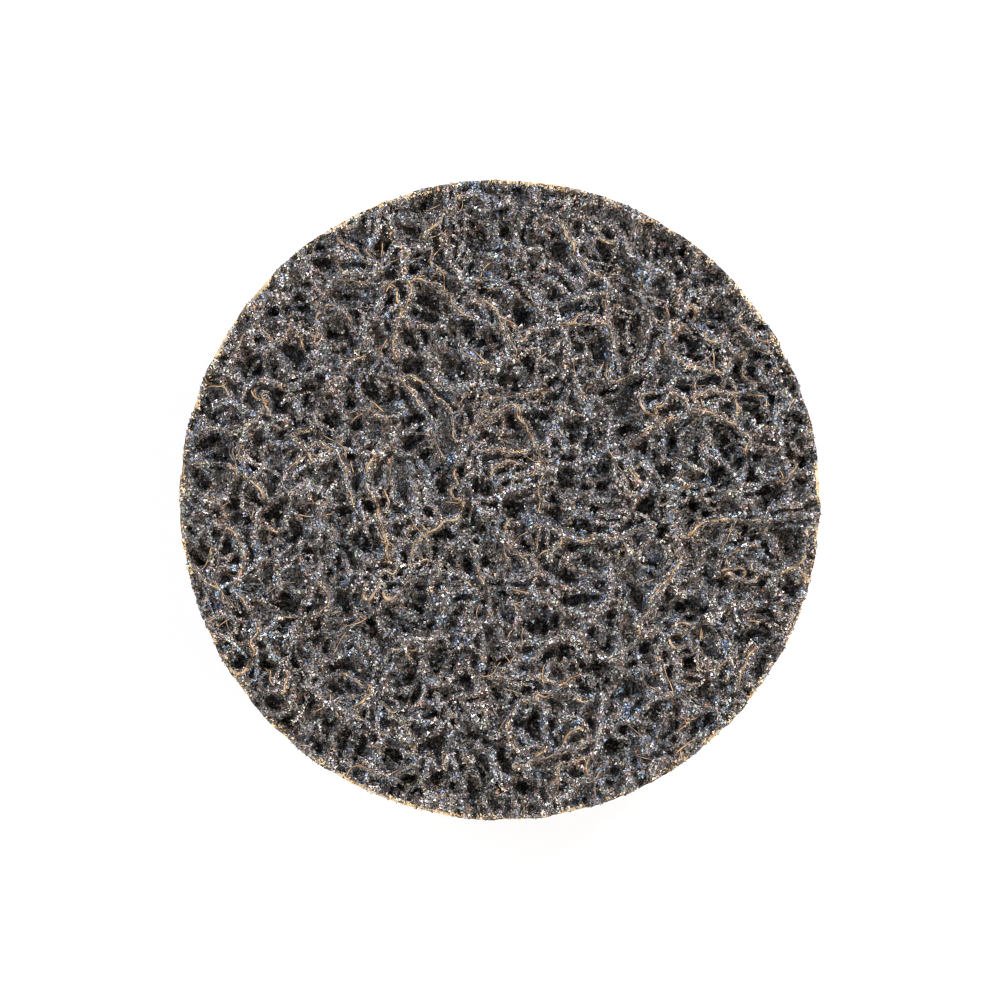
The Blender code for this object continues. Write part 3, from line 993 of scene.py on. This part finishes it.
def filmMaterial():
    # The resin that soaks the cloth: painted shade takes it brown where it shows between yarns, pale honey
    # at the cut edge
    material, shader = newMaterial("amberResinFilm", Roughness=0.5, IOR=1.55)
    place = addNode(material, "TexCoord").outputs["Object"]
    # painted shade: darker brown towards its underside, which shows only in the hollows between the yarns
    height = addNode(material, "SeparateXYZ", feeds={"Vector": place}).outputs["Z"]
    level = addNode(material, "MapRange", feeds={
        "Value": height, "From Min": scrimLow.z + scrim["filmSink"], "From Max": scrimHigh.z})
    colour = addNode(material, "ValToRGB", feeds={"Fac": level.outputs["Result"]}, stops=(
        (0.0, "#5a3a1c"), (1.0, "#d9c6a2"), (0.3, "#a98354")))
    mottle = addNode(material, "TexNoise", feeds={
        "Scale": 1.0 / (0.8 * mm), "Detail": 4.0, "Vector": place})
    cloud = addNode(material, "ValToRGB", feeds={"Fac": mottle.outputs["Fac"]},
                    stops=((0.35, "#c8a67c"), (0.6, "#ffffff")))
    mixed = addNode(material, "Mix", {"data_type": "RGBA", "blend_type": "MULTIPLY"},
                    {"Factor": 1.0, "A": colour.outputs["Color"], "B": cloud.outputs["Color"]})
    setSockets(material, shader, {"Base Color": mixed.outputs["Result"]})
    return material


# Moulded screw-in button and the glue that holds it

button = {  # radius and height of each corner of the section, and how far it is rounded
    "section": ((0.0, 3.6, 0.0), (1.7, 3.0, 0.12), (1.7, 0.0, 0.18), (3.1, 0.0, 0.15), (3.7, 0.6, 0.25),
                (3.7, 5.4, 0.6), (5.2, 5.4, 0.14), (5.2, 5.0, 0.1), (8.5, 5.0, 0.22), (8.5, 6.2, 0.3),
                (0.0, 6.2, 0.0)),
    "segments": 96,
    "coreRadius": 3.7 * mm,
    "threadCrest": 4.7 * mm,  # radius over the rib
    "ribWidth": 1.8 * mm,
    "threadPitch": 2.9 * mm,
    "threadTurns": 1.15,
    "threadStart": 1.1 * mm,
    "runout": 0.14,  # turns over which each end fades into the core
    "tipShare": 0.3,  # of its width, that each end keeps
    "tipSink": 0.06 * mm,
    "ribSteps": 80,
}
glue = {
    "radius": 9.0 * mm,
    "wobble": 0.35 * mm,
    "ripple": 0.04 * mm,
    "segments": 120,
}


def roundedSection(corners):
    # Replaces each corner by a short curve, its distance along both sides being the third number
    points = []
    for index, (x, z, reach) in enumerate(corners):
        corner = Vector((x, 0.0, z)) * mm
        if reach == 0.0:
            points.append(corner)
            continue
        sides = []
        for other in (corners[index - 1], corners[index + 1]):
            towards = Vector((other[0], 0.0, other[1])) * mm - corner
            sides.append(corner + towards.normalized() * min(reach * mm, towards.length * 0.45))
        for step in range(5):
            t = step / 4.0
            points.append(sides[0] * (1.0 - t) ** 2 + corner * 2.0 * t * (1.0 - t) + sides[1] * t ** 2)
    return [point.xz for point in points]


def spunMesh(name, section, segments):
    # A shape of revolution from the radius and height of each point of its section
    bm = bmesh.new()
    verts = [bm.verts.new((out, 0.0, height)) for out, height in section]
    for start, end in zip(verts, verts[1:]):
        bm.edges.new((start, end))
    bmesh.ops.spin(bm, geom=bm.verts[:] + bm.edges[:], axis=(0.0, 0.0, 1.0), cent=(0.0, 0.0, 0.0),
                   angle=math.tau, steps=segments, use_merge=True)
    bmesh.ops.remove_doubles(bm, verts=bm.verts, dist=1e-6)
    bmesh.ops.recalc_face_normals(bm, faces=bm.faces)
    return meshFrom(name, bm)


def threadMesh():
    # A round-backed rib wound on the core, half sunk in it, that fades out at both ends
    rib = button["ribWidth"] / 2.0
    core = button["coreRadius"]
    curve = newCurve("threadRib")
    curve.bevel_depth = rib
    curve.bevel_resolution = 5
    for index, point in enumerate(addSpline(curve, button["ribSteps"] + 1).points):
        turns = button["threadTurns"] * index / button["ribSteps"]
        full = smoothStep(min(turns, button["threadTurns"] - turns), 0.0, button["runout"])
        share = button["tipShare"] + (1.0 - button["tipShare"]) * full
        proud = full * (button["threadCrest"] - core) - (1.0 - full) * button["tipSink"]
        path = core + proud - rib * share
        angle = math.tau * turns
        height = button["threadStart"] + button["threadPitch"] * turns
        point.co = (path * math.cos(angle), path * math.sin(angle), height, 1.0)
        point.radius = share
    return meshOfCurve("threadRib", curve)


def nylonMaterial():
    # Natural moulded nylon: off-white, satin, faintly see-through, flow marks in its gloss
    material, shader = newMaterial("mouldedNylon", Roughness=0.4, IOR=1.53)
    place = addNode(material, "TexCoord").outputs["Object"]
    cloud = addNode(material, "TexNoise", feeds={
        "Scale": 1.0 / (4.0 * mm), "Detail": 4.0, "Vector": place})
    colour = addNode(material, "ValToRGB", feeds={"Fac": cloud.outputs["Fac"]},
                     stops=((0.3, "#d9d4c6"), (0.7, "#e6e2d6")))
    gloss = addNode(material, "MapRange", feeds={
        "Value": cloud.outputs["Fac"], "To Min": 0.32, "To Max": 0.5})
    grain = addNode(material, "TexNoise", feeds={
        "Scale": 1.0 / (0.25 * mm), "Detail": 2.0, "Vector": place})
    bump = addNode(material, "Bump", feeds={
        "Strength": 0.25, "Distance": 0.01 * mm, "Height": grain.outputs["Fac"]})
    setSockets(material, shader, {
        "Base Color": colour.outputs["Color"], "Roughness": gloss.outputs["Result"],
        "Normal": bump.outputs["Normal"], "Subsurface Weight": 0.15,
        "Subsurface Radius": (0.5 * mm, 0.4 * mm, 0.3 * mm)})
    return material


def glueMesh():
    # Glue squeezed out between the flange and the cloth, its edge uneven
    low, high, radius = buttonHigh.z - 0.15 * mm, scrimLow.z + 0.28 * mm, glue["radius"]
    mesh = spunMesh("glueBead", (
        (0.0, low), (radius - 0.5 * mm, low), (radius - 0.1 * mm, low + 0.12 * mm),
        (radius + 0.1 * mm, (low + high) / 2.0), (radius + 0.35 * mm, high), (0.0, high),
    ), glue["segments"])
    for vert in mesh.vertices:
        spot = Vector((vert.co.x, vert.co.y, 0.0))
        if spot.length > radius / 2.0:
            out = spot.normalized()
            push = glue["wobble"] * noise.noise(out * 3.0) + glue["ripple"] * noise.noise(out * 9.0)
            vert.co.x += out.x * push
            vert.co.y += out.y * push
    return mesh


def glueMaterial():
    # Cured epoxy: deep amber, glossy
    material, shader = newMaterial("curedEpoxy", Roughness=0.18, IOR=1.55)
    setSockets(material, shader, {"Base Color": toLinear("#86602c")})
    return material


# Stage

stage = {
    "frameWidth": 50.0 * mm * 1000.0 / 645.0,  # the disc fills 645 of 1000 pixels
    "lens": 300.0,
    "lamps": (  # name, place, size, power and colour
        ("keyRight", (0.34, 0.32, 0.36), 0.16, 4.9, "#f3f6ff"),
        ("fillLeft", (-0.36, 0.14, 0.34), 0.16, 1.7, "#e4edff"),
        ("warmRight", (0.34, -0.22, 0.32), 0.14, 1.0, "#ffeedd"),
        ("lowFront", (-0.14, -0.38, 0.36), 0.14, 0.9, "#fff6ea")),
    "world": ("#f6f7fa", 0.63),  # colour and strength of the light all round
    "paper": "#f4f4f4",
    "paperGlow": 0.9,  # share of the paper that shows as plain white where it is seen
    "floorSize": 4.0,
    "floorDrop": 0.01 * mm,  # so that it doesn't coincide with the stud's end
    "filterWidth": 1.0,  # pixels; keeps the grit crisp
}


def addArea(name, place, size, power, hexColour):
    light = bpy.data.lights.new(name, "AREA")
    light.shape = "SQUARE"
    light.size = size
    light.energy = power
    light.color = toLinear(hexColour)[:3]
    lamp = addObject(name, light)
    lamp.location = place
    towards = Vector((0.0, 0.0, web["faceZ"])) - lamp.location
    lamp.rotation_euler = towards.to_track_quat("-Z", "Y").to_euler()


def seenRays(owner):
    # 1 for the rays that show the surroundings: straight, mirrored or through something clear
    rays = addNode(owner, "LightPath").outputs
    direct = addNode(owner, "Math", {"operation": "MAXIMUM"},
                     {0: rays["Is Camera Ray"], 1: rays["Is Glossy Ray"]})
    return addNode(owner, "Math", {"operation": "MAXIMUM"},
                   {0: direct.outputs[0], 1: rays["Is Transmission Ray"]}).outputs[0]


def paperMaterial():
    # Matt white studio paper, a plain white where it is seen, that keeps the shadow
    material, shader = newMaterial("whiteStudioPaper", Roughness=0.9)
    setSockets(material, shader, {"Base Color": toLinear(stage["paper"])})
    share = addNode(material, "Math", {"operation": "MULTIPLY"},
                    {0: seenRays(material), 1: stage["paperGlow"]})
    glow = addNode(material, "Emission", feeds={"Strength": 1.0})
    blend = addNode(material, "MixShader",
                    feeds={0: share.outputs[0], 1: shader.outputs[0], 2: glow.outputs[0]})
    side = addNode(material, "NewGeometry")
    clear = addNode(material, "BsdfTransparent")  # from below the paper hides nothing
    sheet = addNode(material, "MixShader",
                    feeds={0: side.outputs["Backfacing"], 1: blend.outputs[0], 2: clear.outputs[0]})
    setSockets(material, material.node_tree.nodes["Material Output"], {"Surface": sheet.outputs[0]})
    return material


def lightWorld():
    # Soft light all round on the disc, and plain white behind it
    world = bpy.data.worlds.new("world")
    bpy.context.scene.world = world
    world.use_nodes = True
    back = world.node_tree.nodes["Background"]
    hexColour, strength = stage["world"]
    setSockets(world, back, {"Color": toLinear(hexColour), "Strength": strength})
    plain = addNode(world, "Background", feeds={"Strength": 1.0, "Color": (1.0, 1.0, 1.0, 1.0)})
    mixed = addNode(world, "MixShader", feeds={0: seenRays(world), 1: back.outputs[0], 2: plain.outputs[0]})
    setSockets(world, world.node_tree.nodes["World Output"], {"Surface": mixed.outputs[0]})


def buildStage():
    camera = bpy.data.cameras.new("camera")
    camera.lens = stage["lens"]
    holder = addObject("camera", camera)
    holder.location = (0.0, 0.0, web["faceZ"] + stage["frameWidth"] * stage["lens"] / camera.sensor_width)
    bpy.context.scene.camera = holder
    bm = bmesh.new()
    bmesh.ops.create_grid(bm, x_segments=1, y_segments=1, size=stage["floorSize"] / 2.0)
    floor = addObject("floor", meshFrom("floor", bm))
    floor.location.z = -stage["floorDrop"]
    floor.data.materials.append(paperMaterial())
    lightWorld()
    for lamp in stage["lamps"]:
        addArea(*lamp)
    bpy.context.scene.view_settings.view_transform = "Standard"
    bpy.context.scene.cycles.filter_width = stage["filterWidth"]


buildStage()
resin = resinMaterial()
gritLook = gritMaterial()
fibreLook = fibreMaterial()

voidOpenings = rasterOf(voidOpening)
layers = [layLayer(layer) for layer in range(len(ridges["layers"]))]
faceHeights = readFace()
slopeRows, slopeColumns = np.gradient(faceHeights, web["rasterPitch"])
print("face read, mean depth mm", round((web["faceZ"] - faceHeights.mean()) / mm, 2))
veinRoutes, cordRoutes, hairRoutes = layRoutes(veins), layRoutes(cords), layRoutes(hairs)
print("strands laid:", len(veinRoutes), len(cordRoutes), len(hairRoutes))

buildMass(resin)
for name, kind, routes, look in (
        ("coatedCords", cords, cordRoutes, resin), ("fibreVeins", veins, veinRoutes, fibreLook),
        ("fibreHairs", hairs, hairRoutes, fibreLook), ("rimFibres", ends, layRimRoutes(), fibreLook)):
    newPiece(name, strandMesh(name, kind, routes), look, "resin_and_grain", True)

draw = np.random.default_rng(grit["seed"])
for layer in range(grit["faceLayers"]):
    places, outward = faceSpots(draw, grit["faceCount"])
    strewChips("faceGrit%d" % (layer + 1), places, outward, gritLook, draw)
for name, kind, routes in (("cordGrit", cords, cordRoutes), ("veinGrit", veins, veinRoutes)):
    places, outward = strandSpots(draw, kind, routes)
    strewChips(name, places, outward, gritLook, draw, kind["chipShare"])
places, outward = rimSpots(draw, grit["rimCount"])
strewChips("rimGrit", places, outward, gritLook, draw, grit["rimShare"])

newPiece("scrimFilm", filmMesh(), filmMaterial(), "woven_scrim", True, "scrim_backing")
for name, finish, runsAlongX in (
        ("warpYarns", "soakedWarpYarn", False), ("weftYarns", "soakedWeftYarn", True)):
    yarns = yarnMesh(name, runsAlongX)
    newPiece(name, yarns, yarnMaterial(finish, runsAlongX), "woven_scrim", True)
nylon = nylonMaterial()
body = spunMesh("buttonBody", roundedSection(button["section"]), button["segments"])
newPiece("buttonBody", body, nylon, "moulded_nylon", True, "quick_change_button")
newPiece("threadRib", threadMesh(), nylon, "moulded_nylon", True)
newPiece("glueBead", glueMesh(), glueMaterial(), "resin_and_grain", True)
